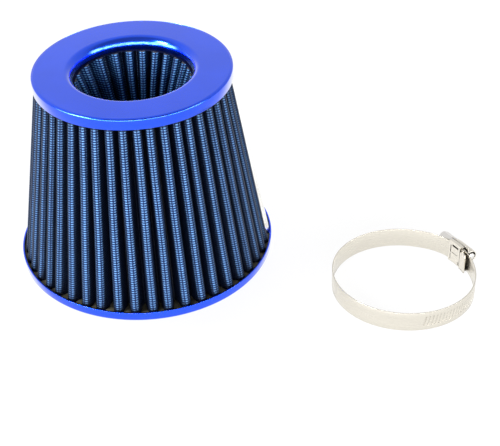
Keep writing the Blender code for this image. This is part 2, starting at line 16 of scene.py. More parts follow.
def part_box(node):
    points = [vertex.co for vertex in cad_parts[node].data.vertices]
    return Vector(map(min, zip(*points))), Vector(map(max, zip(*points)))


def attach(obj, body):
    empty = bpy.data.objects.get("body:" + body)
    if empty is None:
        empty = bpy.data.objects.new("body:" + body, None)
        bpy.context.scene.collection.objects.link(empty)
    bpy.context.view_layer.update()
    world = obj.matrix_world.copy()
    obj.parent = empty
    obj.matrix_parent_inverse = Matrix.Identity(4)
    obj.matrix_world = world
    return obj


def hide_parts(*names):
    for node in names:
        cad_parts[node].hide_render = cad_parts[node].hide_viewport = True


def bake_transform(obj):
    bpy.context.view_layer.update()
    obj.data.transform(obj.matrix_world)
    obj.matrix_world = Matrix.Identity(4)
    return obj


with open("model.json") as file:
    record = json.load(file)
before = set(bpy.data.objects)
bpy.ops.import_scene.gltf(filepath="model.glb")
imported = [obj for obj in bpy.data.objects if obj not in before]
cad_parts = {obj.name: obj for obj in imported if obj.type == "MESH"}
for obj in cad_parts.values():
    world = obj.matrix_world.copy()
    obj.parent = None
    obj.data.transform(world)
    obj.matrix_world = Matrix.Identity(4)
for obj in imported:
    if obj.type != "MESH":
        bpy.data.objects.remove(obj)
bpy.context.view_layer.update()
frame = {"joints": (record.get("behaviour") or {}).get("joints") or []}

# Places that the frame gives
PLATE_LOW, PLATE_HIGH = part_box("top_plate")
PAN_LOW, PAN_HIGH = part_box("base_pan")
AXIS = Vector(((PLATE_LOW.x + PLATE_HIGH.x) / 2, (PLATE_LOW.y + PLATE_HIGH.y) / 2, 0.0))
TOP_RADIUS = PLATE_HIGH.x - AXIS.x
TOP_Z = PLATE_HIGH.z
BASE_RADIUS = PAN_HIGH.x - AXIS.x
OUTER_FOOT, OUTER_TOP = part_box("outer_screen")[0].z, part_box("outer_screen")[1].z
CONE_FOOT, CONE_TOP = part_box("cone_screen")[0].z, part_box("cone_screen")[1].z

# Turned and pressed pieces
TURN_STEPS = 288
SHEET = 0.0009
SKIRT = 0.0064
THROAT_RADIUS = 0.0331
THROAT_CURVE = (0.0045, 0.0062)         # reach of the roll, inward and down
TOP_CORNER = 0.0011
PAN_CORNER = 0.0022
CUP_CORNER = 0.0012
POTTING_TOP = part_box("base_potting")[1].z
NECK_BORE = 0.038
NECK_RADIUS = 0.042
NECK_FLANGE = 0.0022
NECK_BEAD = 0.0005

# Pleats. A pair is a value at the foot and at the top; the ends reach into the resin
Pack = namedtuple("Pack", "angles crest root crest_flat root_flat low high sheet sway")
OUTER_PLEATS = 46
OUTER_FIRST = radians(-93)
CONE_PLEATS = 26
CONE_FIRST = radians(84)
CONE_SEAM = radians(137)
CONE_STRETCH = 0.48
CONE_STRETCH_WIDTH = radians(26)
PLEAT_ROWS = 14
GAUZE_ROWS = 4
# Each layer's two faces, as offsets from the middle of the folded sheet, outside first
OUTER_LAYERS = ((0.00085, 0.00055), (0.00035, -0.00035), (-0.00055, -0.00085))
CONE_LAYERS = ((0.0007, 0.0005), (0.0003, -0.0003), (-0.0005, -0.0007))
OUTER_CLIP_PLEAT, CONE_CLIP_PLEAT = 12, 4
ARC_STEPS = 5
WIRE_PITCH = (0.0015, 0.00145)          # across the pleats and along them
CLIP_GAP = 0.0003
CLIP_SHEET = 0.0005
CLIP_LEG = 0.0042                       # how far the clip's legs go down the fold's sides
CLIP_LEG_FOOT = 0.4                     # the share of the legs that is left at the foot
CLIP_ROWS = 10

# Clamp
CLAMP_HINGES = {joint["name"]: Vector(joint["pos_m"]) for joint in frame["joints"]
                if joint["type"] == "hinge"}
CLAMP_CENTRE = (CLAMP_HINGES["band_bend_first"] + CLAMP_HINGES["band_bend_second"]) / 2
CLAMP_CENTRE.z = 0.0
BAND_LOW, BAND_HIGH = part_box("clamp_band_head")[0].z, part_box("clamp_band_head")[1].z
BAND = 0.0006
BAND_RADIUS = 0.04162
BAND_OVAL = 0.00122
BAND_OVAL_ANGLE = radians(-9.8)
HOUSING = radians(32)
HEAD_START = HOUSING - radians(10)
TAIL_END = HOUSING + radians(23)
STRIP_SPLIT = radians(194)              # where the two halves of the strip meet
STRIP_SEAM = 0.0001
HEAD_ROUND_END = HOUSING + radians(6)
HEAD_OVAL_START = HOUSING + radians(40)
TAIL_OVAL_END = HOUSING - radians(77)
TAIL_ROUND_START = HOUSING - radians(42)
TAIL_RADIUS = 0.04255
TAIL_TAPER = 0.26                       # the share of its width that the free end loses
TAIL_TAPER_LENGTH = radians(15)
FIRST_GROOVE = HOUSING - radians(115.5)
WORM_PITCH = 0.0024
GROOVE_HEIGHT = 0.0064
GROOVE_LOW = (BAND_LOW + BAND_HIGH - GROOVE_HEIGHT) / 2
GROOVE_WIDTH = 0.0011
GROOVE_LEAN = 0.0012
GROOVE_DEPTH = 0.00038
SADDLE = 0.0007
SADDLE_TOP = 0.0434
SADDLE_SHIFT = -radians(2.2)            # how far the saddle sits past the housing's middle
SADDLE_GAP = 0.0003                     # between the strip and the saddle's back
TONGUE_WIDTH = radians(8.2)
TONGUE_REACH = radians(2.6)             # how far it reaches past the saddle's end
TONGUE_PROUD = 0.0004
HOUSING_BACK, HOUSING_FRONT = -0.0080, 0.0070
HOUSING_WALL = 0.0007
HOUSING_SEAT = 0.0437
SCREW_RADIUS = 0.0465
THREAD_ROOT, THREAD_RADIUS = 0.0026, 0.0034
THREAD_START = -0.0084
THREAD_TURNS = 6
THREAD_FOOT, THREAD_FLANK = 0.72, 0.44  # widths of the ridge's foot and flanks, of the pitch
WORM_CLEARANCE = 0.0005
TIP_LENGTH = 0.0005
COLLAR_RADIUS = 0.0039
COLLAR_LENGTH = 0.0014
COLLAR_BEVEL = 0.0001
HEX_RADIUS = 0.0041
HEX_START, HEX_END = 0.0100, 0.0185
HEX_BEVEL = 0.0007
HEX_END_SHARE = 0.84                    # radius of the head's end face, of the hexagon's
DRIVER_SLOT = (0.0011, 0.0018)


# Materials

class Graph:
    """Short calls for building the nodes of one material or world."""

    def __init__(self, owner):
        owner.use_nodes = True
        self.owner = owner
        self.tree = owner.node_tree
        self.shader = self.tree.nodes.get("Principled BSDF")

    def put(self, value, socket):
        """Link a socket, or set a plain value."""
        if isinstance(value, bpy.types.NodeSocket):
            self.tree.links.new(value, socket)
        elif isinstance(value, tuple) and len(value) == 3 and socket.type == "RGBA":
            socket.default_value = (*value, 1.0)
        else:
            socket.default_value = value

    def node(self, kind, inputs=None, **settings):
        """A new node with its settings and inputs."""
        made = self.tree.nodes.new(kind)
        for key, value in settings.items():
            setattr(made, key, value)
        for key, value in (inputs or {}).items():
            self.put(value, made.inputs[key])
        return made

    def grazing(self):
        """0 where the surface faces the camera and 1 where it is seen edge on."""
        return self.node("ShaderNodeLayerWeight", {0: 0.5}).outputs[1]

    def math(self, operation, *values):
        """A maths node's result."""
        made = self.node("ShaderNodeMath", operation=operation)
        for index, value in enumerate(values):
            self.put(value, made.inputs[index])
        return made.outputs[0]

    def mix(self, share, first, second):
        """A mix of two colours."""
        made = self.node("ShaderNodeMix", data_type="RGBA")
        self.put(share, made.inputs[0])
        self.put(first, made.inputs[6])
        self.put(second, made.inputs[7])
        return made.outputs[2]

    def span(self, value, low, high, out_low=0.0, out_high=1.0):
        """A value moved from one span to another, smoothly and within limits."""
        made = self.node("ShaderNodeMapRange", {0: value, 1: low, 2: high, 3: out_low, 4: out_high},
                         interpolation_type="SMOOTHSTEP")
        return made.outputs[0]

    def noise(self, scale, detail=3.0, stretch=(1.0, 1.0, 1.0), source="Object"):
        """Noise over the piece, in cycles per metre."""
        place = self.node("ShaderNodeTexCoord").outputs[source]
        mapping = self.node("ShaderNodeMapping", {"Vector": place, "Scale": stretch})
        made = self.node("ShaderNodeTexNoise", {"Vector": mapping.outputs[0], "Scale": scale,
                                                "Detail": detail})
        return made.outputs[0]

    def bump(self, height, distance, strength=1.0):
        """Send a height to the shader's normal."""
        made = self.node("ShaderNodeBump", {"Height": height, "Distance": distance,
                                            "Strength": strength})
        self.put(made.outputs[0], self.shader.inputs["Normal"])

    def set(self, **values):
        """Set the shader's inputs; an underscore in a name stands for a space."""
        for key, value in values.items():
            self.put(value, self.shader.inputs[key.replace("_", " ")])
        return self.owner


def new_graph(name):
    """The nodes of a new material."""
    return Graph(bpy.data.materials.new(name))


def enamel():
    """Blue metallic paint under a clear coat: faint smudges, and a painted reflection that makes it
    paler where it is seen edge on.
    """
    g = new_graph("blue_enamel")
    drift = g.span(g.noise(28.0), 0.35, 0.65)
    smudge = g.span(g.noise(60.0, 5.0), 0.66, 0.80)
    colour = g.mix(drift, (0.004, 0.080, 0.90), (0.006, 0.088, 0.98))
    colour = g.mix(g.math("MULTIPLY", smudge, 0.2), colour, (0.003, 0.045, 0.55))
    # Painted reflection: paler where the surface is seen edge on.
    colour = g.mix(g.span(g.grazing(), 0.52, 0.90, 0.0, 0.85), colour, (0.62, 0.68, 1.0))
    rough = g.span(g.noise(140.0), 0.3, 0.7, 0.16, 0.22)
    g.bump(g.noise(700.0, 1.0), 0.00001, 0.15)
    return g.set(Base_Color=colour, Roughness=rough, Metallic=1.0, Coat_Weight=0.8,
                 Coat_Roughness=0.05)


def painted_shade_mask(g, reach, closed, open_air):
    """Mask for painted shade, from ambient occlusion: 1 in the open and 0 in tight gaps."""
    made = g.node("ShaderNodeAmbientOcclusion", {"Distance": reach}, samples=8)
    return g.span(made.outputs["AO"], closed, open_air)


def weave(g, half_widths):
    """A plain wire weave over the UV map, one wire each way per unit: its height and its knots."""
    place = g.node("ShaderNodeSeparateXYZ", {0: g.node("ShaderNodeUVMap").outputs[0]})
    across, along = place.outputs[0], place.outputs[1]
    heights, bodies = [], []
    wires = ((across, along, 1.0, half_widths[0]), (along, across, -1.0, half_widths[1]))
    for own, other, side, half_width in wires:
        offset = g.math("SUBTRACT", g.math("FRACT", own), 0.5)
        share = g.math("DIVIDE", offset, half_width)
        fall = g.math("SUBTRACT", 1.0, g.math("MULTIPLY", share, share))
        body = g.math("SQRT", g.math("MAXIMUM", fall, 0.0))
        sign = g.math("COSINE", g.math("MULTIPLY", g.math("FLOOR", own), pi))
        wave = g.math("MULTIPLY", g.math("SINE", g.math("MULTIPLY", other, pi)), sign)
        heights.append(g.math("MULTIPLY", body, g.math("MULTIPLY_ADD", wave, 0.3 * side, 0.7)))
        bodies.append(body)
    return g.math("MAXIMUM", *heights), g.math("MULTIPLY", *bodies)


def wire_screen(name, wire, knot_highlight, cloth, shade=(0.40, 1.0), half_widths=(0.44, 0.25)):
    """Coated wire cloth: painted highlights on the knots, gauze in the gaps, painted shade in the
    folds and where seen edge on.
    """
    g = new_graph(name)
    height, knot = weave(g, half_widths)
    fade = g.span(g.noise(45.0), 0.3, 0.7, 0.0, 0.22)
    colour = g.mix(g.span(height, 0.05, 0.45), cloth, wire)
    # Painted highlight: a lighter colour on the knots, where the wires cross.
    colour = g.mix(g.span(knot, 0.30, 0.95), colour, knot_highlight)
    colour = g.mix(fade, colour, cloth)
    # Painted shade: darker where the screen is seen edge on and deep in the folds.
    colour = g.mix(g.span(g.grazing(), 0.05, 0.60, 0.0, 0.85), colour, cloth)
    colour = g.mix(painted_shade_mask(g, 0.011, *shade), cloth, colour)
    g.bump(height, 0.00025, 0.8)
    return g.set(Base_Color=colour, Roughness=g.span(height, 0.1, 0.8, 0.75, 0.36),
                 Specular_IOR_Level=0.14)


def cotton():
    """Dyed cotton gauze."""
    g = new_graph("cotton_gauze")
    height = weave(g, (0.48, 0.48))[0]
    colour = g.mix(g.noise(90.0), (0.003, 0.006, 0.016), (0.007, 0.012, 0.028))
    g.bump(height, 0.0002)
    return g.set(Base_Color=colour, Roughness=0.95, Sheen_Weight=0.3)


def resin(name, dark, light, roughness, shine=0.25):
    """Cast resin: cloudy, with small pits and a wavy skin, and painted shade in tight gaps."""
    g = new_graph(name)
    colour = g.mix(g.span(g.noise(110.0, 5.0), 0.3, 0.7), dark, light)
    g.bump(g.noise(350.0, 4.0), 0.0003, 0.6)
    # Painted shade: much darker deep in tight gaps.
    colour = g.mix(painted_shade_mask(g, 0.008, 0.05, 0.6), tuple(0.12 * c for c in dark), colour)
    rough = g.span(g.noise(250.0), 0.3, 0.7, roughness, roughness + 0.2)
    return g.set(Base_Color=colour, Roughness=rough, Specular_IOR_Level=shine)


def rubber():
    """Moulded black rubber."""
    g = new_graph("black_rubber")
    colour = g.mix(g.noise(40.0), (0.012, 0.012, 0.013), (0.024, 0.024, 0.025))
    g.bump(g.noise(1600.0, 3.0), 0.00006, 0.5)
    return g.set(Base_Color=colour, Roughness=g.span(g.noise(120.0), 0.3, 0.7, 0.5, 0.68))


def stainless(name, colour, roughness, reach=0.0022):
    """Bright rolled steel: fine lines along the strip, a few scratches, painted shade in the gaps.
    """
    g = new_graph(name)
    lines = g.noise(1.0, 4.0, (60.0, 60.0, 2600.0))
    wear = g.span(g.noise(300.0, 4.0), 0.55, 0.75)
    tint = g.mix(g.span(lines, 0.3, 0.7), colour, tuple(0.97 * c for c in colour))
    tint = g.mix(g.math("MULTIPLY", wear, 0.06), tint, (0.45, 0.43, 0.40))
    # Painted shade: dark near other parts within the reach, and brownish in the finest gaps.
    tint = g.mix(painted_shade_mask(g, reach, 0.25, 0.78), (0.040, 0.030, 0.022), tint)
    tint = g.mix(painted_shade_mask(g, 0.0007, 0.25, 0.97), (0.20, 0.17, 0.13), tint)
    g.bump(lines, 0.00001, 0.2)
    rough = g.span(lines, 0.3, 0.7, roughness, roughness + 0.06)
    return g.set(Base_Color=tint, Roughness=rough, Metallic=1.0)


# Mesh helpers

def new_piece(name, verts, faces, material, uvs=None, sharp=40):
    """A mesh object with smooth shading that keeps edges sharper than an angle in degrees."""
    mesh = bpy.data.meshes.new(name)
    mesh.from_pydata([tuple(v) for v in verts], [], [tuple(f) for f in faces])
    if uvs is not None:
        layer = mesh.uv_layers.new(name="UVMap")
        layer.data.foreach_set("uv", np.asarray(uvs, np.float32).ravel())
    mesh.update()
    mesh.shade_smooth()
    mesh.set_sharp_from_angle(angle=radians(sharp))
    mesh.materials.append(material)
    piece = bpy.data.objects.new(name, mesh)
    bpy.context.scene.collection.objects.link(piece)
    return piece


def arc(centre, radius, start, end, steps):
    """Points of an arc given in degrees, as (radius, height)."""
    angles = [radians(start + (end - start) * i / steps) for i in range(steps + 1)]
    return [(centre[0] + radius * cos(a), centre[1] + radius * sin(a)) for a in angles]


def throat_curve(inset, start, end, steps):
    """The bell mouth's curve, moved into the sheet by an inset."""
    across, down = (reach - inset for reach in THROAT_CURVE)
    middle = (THROAT_RADIUS + THROAT_CURVE[0], TOP_Z - THROAT_CURVE[1])
    angles = [radians(start + (end - start) * i / steps) for i in range(steps + 1)]
    return [(middle[0] + across * cos(a), middle[1] + down * sin(a)) for a in angles]


def turned(name, profile, material, on_axis=False, steps=TURN_STEPS, wave=None):
    """Spin an outline about the filter's axis. An outline on the axis starts and ends there."""
    angles = np.arange(steps) * 2 * pi / steps
    verts = []
    for a in angles:
        for r, z in profile:
            lift = wave(a, r, z) if wave else 0.0
            verts.append((AXIS.x + r * cos(a), AXIS.y + r * sin(a), z + lift))
    count = len(profile)
    faces = []
    for i in range(steps):
        j = (i + 1) % steps
        for k in range(count - 1 if on_axis else count):
            m = (k + 1) % count
            faces.append((i * count + k, j * count + k, j * count + m, i * count + m))
    piece = new_piece(name, verts, faces, material)
    if on_axis:
        weld(piece)
    return piece


def weld(piece):
    """Join the vertices that lie on the axis, and drop the faces that this flattens."""
    bm = bmesh.new()
    bm.from_mesh(piece.data)
    bmesh.ops.remove_doubles(bm, verts=bm.verts, dist=1e-6)
    bm.to_mesh(piece.data)
    bm.free()
    piece.data.shade_smooth()
    piece.data.set_sharp_from_angle(angle=radians(40))


# Pleated packs

def rounded_loop(corners, steps=ARC_STEPS, share=0.47):
    """Round every corner of a closed loop; gives its points and its outward normals."""
    into = corners - np.roll(corners, 1, axis=0)
    away = np.roll(corners, -1, axis=0) - corners
    length_in = np.linalg.norm(into, axis=1)
    length_away = np.linalg.norm(away, axis=1)
    into = into / length_in[:, None]
    away = away / length_away[:, None]
    turn = np.arctan2(into[:, 0] * away[:, 1] - into[:, 1] * away[:, 0], (into * away).sum(1))
    reach = share * np.minimum(length_in, length_away)
    radius = reach / np.tan(np.abs(turn) / 2)
    side = np.sign(turn)
    right = np.stack((into[:, 1], -into[:, 0]), axis=1)
    centre = corners - into * reach[:, None] - right * (side * radius)[:, None]
    points, normals = [], []
    for step in range(steps + 1):
        angle = turn * step / steps
        c, s = np.cos(angle), np.sin(angle)
        normal = np.stack((right[:, 0] * c - right[:, 1] * s, right[:, 0] * s + right[:, 1] * c), 1)
        points.append(centre + normal * (side * radius)[:, None])
        normals.append(normal)
    return (np.stack(points, 1).reshape(-1, 2), np.stack(normals, 1).reshape(-1, 2))


def even_angles():
    """The outer pack's pleats, with a little unevenness."""
    index = np.arange(OUTER_PLEATS)
    drift = 0.35 * np.sin(index * 2.1) + 0.25 * np.sin(index * 0.7 + 1.0)
    return OUTER_FIRST + index * 2 * pi / OUTER_PLEATS + np.radians(drift)


def stretched_angles():
    """The cone's pleats, stretched apart round its seam."""
    grid = np.linspace(0.0, 2 * pi, 1441)
    away = (grid - (CONE_SEAM - CONE_FIRST) + pi) % (2 * pi) - pi
    density = 1.0 / (1.0 + CONE_STRETCH * np.exp(-(away / CONE_STRETCH_WIDTH) ** 2))
    filled = np.concatenate(([0.0], np.cumsum((density[1:] + density[:-1]) / 2)))
    wanted = np.arange(CONE_PLEATS) * filled[-1] / CONE_PLEATS
    return CONE_FIRST + np.interp(wanted, filled, grid)


def pack_corners(pack, share):
    """The folded sheet's corners at a share of the way up: two on each crest, two in each root."""
    index = np.arange(len(pack.angles))
    here = pack.angles + pack.sway * np.sin(2 * pi * share * 1.2 + index * 2.4)
    after = np.roll(here, -1) + np.where(index == len(index) - 1, 2 * pi, 0.0)
    between = (here + after) / 2
    crest = pack.crest[0] + (pack.crest[1] - pack.crest[0]) * share
    root = pack.root[0] + (pack.root[1] - pack.root[0]) * share
    crest_half = (pack.crest_flat[0] + (pack.crest_flat[1] - pack.crest_flat[0]) * share) / 2 / crest
    root_half = (pack.root_flat[0] + (pack.root_flat[1] - pack.root_flat[0]) * share) / 2 / root
    columns = ((crest, here - crest_half), (crest, here + crest_half),
               (root, between - root_half), (root, between + root_half))
    points = [np.stack((r * np.cos(a), r * np.sin(a)), axis=1) for r, a in columns]
    return np.stack(points, axis=1).reshape(-1, 2)


def folded_layer(name, pack, outside, inside, material, slot, rows=PLEAT_ROWS):
    """One layer of a pack: a folded closed shell between two offsets from its middle."""
    rings = {outside: [], inside: []}
    lengths = None
    for row in range(rows + 1):
        share = row / rows
        z = pack.low + (pack.high - pack.low) * share
        points, normals = rounded_loop(pack_corners(pack, share))
        for offset, ring in rings.items():
            flat = points + normals * offset
            ring.append(np.column_stack((flat + (AXIS.x, AXIS.y), np.full(len(flat), z))))
        if row == rows // 2:
            steps = np.linalg.norm(np.roll(points, -1, axis=0) - points, axis=1)
            lengths = np.concatenate(([0.0], np.cumsum(steps))) / WIRE_PITCH[0]
    slant = np.hypot(pack.high - pack.low, pack.crest[1] - pack.crest[0]) / WIRE_PITCH[1]
    return shell(name, np.array(rings[outside]), np.array(rings[inside]), lengths,
                 np.linspace(0.0, slant, rows + 1), material)


def shell(name, outer, inner, u, v, material):
    """A closed tube wall from two stacks of rings, with its weave laid out in the UV map."""
    rows, count = outer.shape[:2]
    verts = np.concatenate((outer.reshape(-1, 3), inner.reshape(-1, 3)))
    j = np.tile(np.arange(count), rows - 1)
    i = np.repeat(np.arange(rows - 1), count)
    k = (j + 1) % count
    shift = rows * count
    a, b, c, d = i * count + j, i * count + k, (i + 1) * count + k, (i + 1) * count + j
    wall_uv = [np.column_stack((u[x], v[y])) for x, y in
               ((j, i), (j + 1, i), (j + 1, i + 1), (j, i + 1))]
    faces = [np.column_stack((a, b, c, d)),
             np.column_stack((a, d, c, b)) + shift]
    uvs = [np.stack(wall_uv, 1), np.stack([wall_uv[n] for n in (0, 3, 2, 1)], 1)]
    j = np.arange(count)
    k = (j + 1) % count
    top = (rows - 1) * count
    faces.append(np.column_stack((j, j + shift, k + shift, k)))
    faces.append(np.column_stack((top + j, top + k, top + k + shift, top + j + shift)))
    rim = np.stack([np.column_stack((u[j], np.zeros(count)))] * 4, 1)
    uvs += [rim, rim]
    return new_piece(name, verts, np.concatenate(faces), material,
                     np.concatenate(uvs).reshape(-1, 2), sharp=70)


def clip_piece(name, pack, fold, material):
    """A bare metal strip folded over the outside of one fold of a pack."""
    near = pack.sheet / 2 + CLIP_GAP
    far = near + CLIP_SHEET
    per_fold = 4 * (ARC_STEPS + 1)
    rings = []
    for row in range(CLIP_ROWS + 1):
        share = row / CLIP_ROWS
        points, normals = rounded_loop(pack_corners(pack, share))
        chosen = np.arange(fold * per_fold, (fold + 0.5) * per_fold, dtype=int) % len(points)
        path, out = points[chosen], normals[chosen]
        leg = CLIP_LEG * min(1.0, CLIP_LEG_FOOT + 6 * share)
        leg_first = path[0] - along_sheet(out[0]) * leg
        leg_last = path[-1] + along_sheet(out[-1]) * leg
        path = np.vstack((leg_first, path, leg_last))
        out = np.vstack((out[0], out, out[-1]))
        z = pack.low + (pack.high - 0.0004 - pack.low) * share
        ring = np.vstack((path + out * near, (path + out * far)[::-1]))
        rings.append(np.column_stack((ring + (AXIS.x, AXIS.y), np.full(len(ring), z))))
    verts = np.concatenate(rings)
    count = len(rings[0])
    faces = [(i * count + j, i * count + (j + 1) % count, (i + 1) * count + (j + 1) % count,
              (i + 1) * count + j) for i in range(CLIP_ROWS) for j in range(count)]
    half = count // 2
    for row, flip in ((0, True), (CLIP_ROWS, False)):
        for j in range(half - 1):
            face = [row * count + j, row * count + j + 1, row * count + count - 2 - j,
                    row * count + count - 1 - j]
            faces.append(face[::-1] if flip else face)
    return new_piece(name, verts, faces, material)


def along_sheet(normal):
    """The direction along the sheet at a point with this normal."""
    return np.array((-normal[1], normal[0]))


OUTER_PACK = Pack(angles=even_angles(), crest=(0.0726, 0.0539), root=(0.0629, 0.0459),
                  crest_flat=(0.0034, 0.0030), root_flat=(0.0021, 0.0020),
                  low=OUTER_FOOT - 0.0008, high=OUTER_TOP + 0.0012, sheet=0.0017,
                  sway=radians(0.10))
CONE_PACK = Pack(angles=stretched_angles(), crest=(0.0160, 0.0317), root=(0.0208, 0.0398),
                 crest_flat=(0.0016, 0.0022), root_flat=(0.0020, 0.0026),
                 low=CONE_FOOT - 0.0006, high=CONE_TOP + 0.0004, sheet=0.0014,
                 sway=radians(0.25))


def build_packs():
    """Every layer of both packs, and the clips on their seams."""
    # Each screen's colours are the wire, its painted knot highlight and the gauze behind; a last
    # pair sets its painted shade in the folds.
    screen = wire_screen("outer_wire", (0.0022, 0.020, 0.085), (0.135, 0.290, 0.560),
                         (0.0005, 0.0020, 0.008))
    backing = wire_screen("backing_wire", (0.0015, 0.012, 0.050), (0.065, 0.175, 0.360),
                          (0.0005, 0.0015, 0.006))
    gauze = cotton()
    bare = stainless("bare_strip", (0.97, 0.97, 0.96), 0.22, 0.0006)
    inner = wire_screen("throat_wire", (0.0010, 0.020, 0.100), (0.125, 0.340, 0.680),
                        (0.0005, 0.004, 0.020), (0.1, 0.60))
    layers = (
        ("outer_screen", OUTER_PACK, OUTER_LAYERS[0], screen, "blue_wire", PLEAT_ROWS),
        ("outer_gauze", OUTER_PACK, OUTER_LAYERS[1], gauze, "cotton", GAUZE_ROWS),
        ("outer_backing_screen", OUTER_PACK, OUTER_LAYERS[2], backing, "blue_wire", PLEAT_ROWS),
        ("cone_backing_screen", CONE_PACK, CONE_LAYERS[0], backing, "blue_wire", PLEAT_ROWS),
        ("cone_gauze", CONE_PACK, CONE_LAYERS[1], gauze, "cotton", GAUZE_ROWS),
        ("cone_screen", CONE_PACK, CONE_LAYERS[2], inner, "blue_wire", PLEAT_ROWS))
    pieces = [folded_layer(f"{node}_fine", pack, *faces, material, slot, rows)
              for node, pack, faces, material, slot, rows in layers]
    pieces.append(clip_piece("outer_seam_clip_fine", OUTER_PACK, OUTER_CLIP_PLEAT, bare))
    pieces.append(clip_piece("cone_seam_clip_fine", CONE_PACK, CONE_CLIP_PLEAT, bare))
    for piece in pieces:
        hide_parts(piece.name.replace("_fine", ""))
        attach(piece, "filter")


# Turned pieces

def build_plate(paint):
    """The top plate: hemmed skirt, rounded corner, a fine groove, the flat and the throat's roll."""
    skirt_end = TOP_Z - SKIRT
    crease = TOP_RADIUS - TOP_CORNER
    corner = (crease, TOP_Z - TOP_CORNER)
    profile = [(TOP_RADIUS - SHEET, skirt_end), (TOP_RADIUS - 0.0003, skirt_end)]
    profile += arc((TOP_RADIUS - 0.0002, skirt_end + 0.0002), 0.0002, -90, 0, 3)
    profile += arc(corner, TOP_CORNER, 0, 80, 12)
    profile += [(crease + 0.00012, TOP_Z - 0.00016), (crease - 0.00005, TOP_Z - 0.00012),
                (crease - 0.00025, TOP_Z), (crease - 0.00055, TOP_Z)]
    profile += [(THROAT_RADIUS + THROAT_CURVE[0] + 0.0004, TOP_Z)]
    profile += throat_curve(0.0, 90, 180, 20)
    profile += [(THROAT_RADIUS, PLATE_LOW.z), (THROAT_RADIUS + SHEET, PLATE_LOW.z)]
    profile += throat_curve(SHEET, 180, 90, 10)
    profile += arc(corner, TOP_CORNER - SHEET, 90, 0, 4)
    piece = turned("top_plate_fine", profile, paint)
    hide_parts("top_plate")
    return piece


def build_pan(paint):
    """The base pan: rolled skirt and flat underside with the neck's hole."""
    hole = NECK_RADIUS + 0.0004
    corner = (BASE_RADIUS - PAN_CORNER, PAN_LOW.z + PAN_CORNER)
    lip = 0.00016
    rim = PAN_HIGH.z
    profile = [(hole, PAN_LOW.z)]
    profile += arc(corner, PAN_CORNER, -90, 0, 12)
    profile += arc((BASE_RADIUS - lip, rim - lip), lip, 0, 90, 4)
    profile += arc((BASE_RADIUS - SHEET + lip, rim - lip), lip, 90, 180, 4)
    profile += arc(corner, PAN_CORNER - SHEET, 0, -90, 4)
    profile += [(hole, PAN_LOW.z + SHEET)]
    piece = turned("base_pan_fine", profile, paint)
    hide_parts("base_pan")
    return piece


def base_resin_wave(angle, radius, z):
    """The resin climbs a little between the pleats and is uneven."""
    if z < POTTING_TOP - 0.001:
        return 0.0
    climb = 0.5 - 0.5 * cos((angle - OUTER_FIRST) * OUTER_PLEATS)
    return 0.0006 * climb + 0.00025 * sin(angle * 17.0 + radius * 900.0)


def build_potting():
    """Resin in the pan, under the plate and in the cone's cup."""
    khaki = resin("khaki_resin", (0.135, 0.125, 0.085), (0.235, 0.225, 0.165), 0.35)
    dark = resin("dark_resin", (0.0005, 0.0015, 0.012), (0.001, 0.003, 0.020), 0.6, 0.05)
    low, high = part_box("base_potting")
    inner, outer = 0.0503, high.x - AXIS.x
    profile = [(inner, low.z), (outer, low.z)]
    profile += [(outer - (outer - inner) * i / 12, POTTING_TOP) for i in range(13)]
    base = turned("base_potting_fine", profile, khaki, wave=base_resin_wave)
    low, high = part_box("top_potting")
    reach = high.x - AXIS.x
    profile = [(0.0347, PLATE_LOW.z - 0.0001)] + throat_curve(SHEET + 0.0003, 180, 90, 8)
    profile += [(reach, high.z), (reach, OUTER_TOP), (0.0438, OUTER_TOP), (0.0428, low.z),
                (0.0326, low.z), (0.0322, low.z + 0.0002), (0.0324, PLATE_LOW.z - 0.0002)]
    top = turned("top_potting_fine", profile, dark)
    low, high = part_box("cone_end_potting")
    reach = high.x - AXIS.x
    profile = [(0.0, low.z), (reach, low.z), (reach, high.z)]
    profile += [(reach * (1 - i / 6), high.z - 0.0006 * sin(pi * i / 12)) for i in range(1, 7)]
    end = turned("cone_end_potting_fine", profile, dark, on_axis=True)
    for piece, node in ((base, "base_potting"), (top, "top_potting"), (end, "cone_end_potting")):
        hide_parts(node)
    return [base, top, end]


def build_cup(paint):
    """The pressed cup that closes the cone's lower end."""
    low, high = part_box("cone_end_cup")
    reach = high.x - AXIS.x
    profile = [(0.0, low.z + 0.0006), (reach * 0.55, low.z + 0.0006), (reach * 0.62, low.z)]
    profile += arc((reach - CUP_CORNER, low.z + CUP_CORNER), CUP_CORNER, -90, 0, 8)
    profile += arc((reach - SHEET / 2, high.z - SHEET / 2), SHEET / 2, 0, 180, 6)
    profile += [(reach - SHEET, low.z + SHEET), (0.0, low.z + SHEET)]
    piece = turned("cone_end_cup_fine", profile, paint, on_axis=True)
    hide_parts("cone_end_cup")
    return piece


def build_neck():
    """The rubber neck: soft edges, a bead at the open end and a rib inside."""
    low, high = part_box("rubber_neck")
    flange_low, flange = high.z - NECK_FLANGE, high.x - AXIS.x
    bead = NECK_RADIUS + NECK_BEAD
    profile = arc((NECK_BORE + 0.0006, low.z + 0.0006), 0.0006, 180, 270, 4)
    profile += arc((bead - 0.0008, low.z + 0.0008), 0.0008, -90, 0, 6)
    profile += [(bead, low.z + 0.0028), (NECK_RADIUS, low.z + 0.0036), (NECK_RADIUS, flange_low),
                (flange, flange_low), (flange, high.z), (NECK_BORE, high.z)]
    profile += [(NECK_BORE, low.z + 0.0165), (NECK_BORE - 0.0004, low.z + 0.016),
                (NECK_BORE - 0.0004, low.z + 0.015), (NECK_BORE, low.z + 0.0145)]
    piece = turned("rubber_neck_fine", profile, rubber())
    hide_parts("rubber_neck")
    return piece


def build_turned():
    """Every turned piece of the filter."""
    paint = enamel()
    pieces = [build_plate(paint), build_pan(paint), build_cup(paint), build_neck()]
    for piece in pieces + build_potting():
        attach(piece, "filter")


# Clamp

